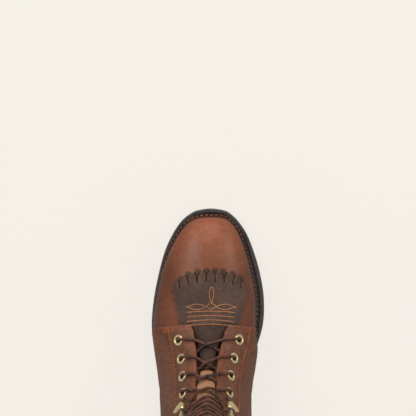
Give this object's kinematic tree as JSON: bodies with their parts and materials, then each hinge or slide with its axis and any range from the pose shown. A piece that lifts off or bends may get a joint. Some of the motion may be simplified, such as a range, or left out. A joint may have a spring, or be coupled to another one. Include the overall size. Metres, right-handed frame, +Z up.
{
  "type": "lace-up boot",
  "caption": "Left lace-up ankle boot with round toe, fringed kiltie, speed hooks, stitched welt and low block heel.",
  "frame": {"origin": "centre of the ground face of the heel, on the floor plane", "axes": "+Z up, -Y towards the toe, +X towards the outer side of the left foot"},
  "size_m": [0.1118, 0.3053, 0.242],
  "materials": {
    "leather": "reddish brown leather, semi-gloss on the vamp",
    "dark_leather": "dark brown leather, matt",
    "tan_leather": "soft tan leather",
    "sole": "matt black rubber, edge worn grey",
    "brass": "pale worn brass",
    "lace": "dark brown woven cord"
  },
  "bodies": {
    "root": {"outsole": "sole", "top_lift": "sole", "heel": "dark_leather", "welt": "dark_leather", "insole": "tan_leather", "upper": "leather", "tongue": "tan_leather", "kiltie": "dark_leather", "lace": "lace", "eyelet_outer_1": "brass", "eyelet_outer_2": "brass", "eyelet_outer_3": "brass", "eyelet_outer_4": "brass", "eyelet_inner_1": "brass", "eyelet_inner_2": "brass", "eyelet_inner_3": "brass", "eyelet_inner_4": "brass", "hook_outer_1": "brass", "hook_outer_2": "brass", "hook_outer_3": "brass", "hook_outer_4": "brass", "hook_outer_5": "brass", "hook_outer_6": "brass", "hook_inner_1": "brass", "hook_inner_2": "brass", "hook_inner_3": "brass", "hook_inner_4": "brass", "hook_inner_5": "brass", "hook_inner_6": "brass"}
  },
  "joints": []
}
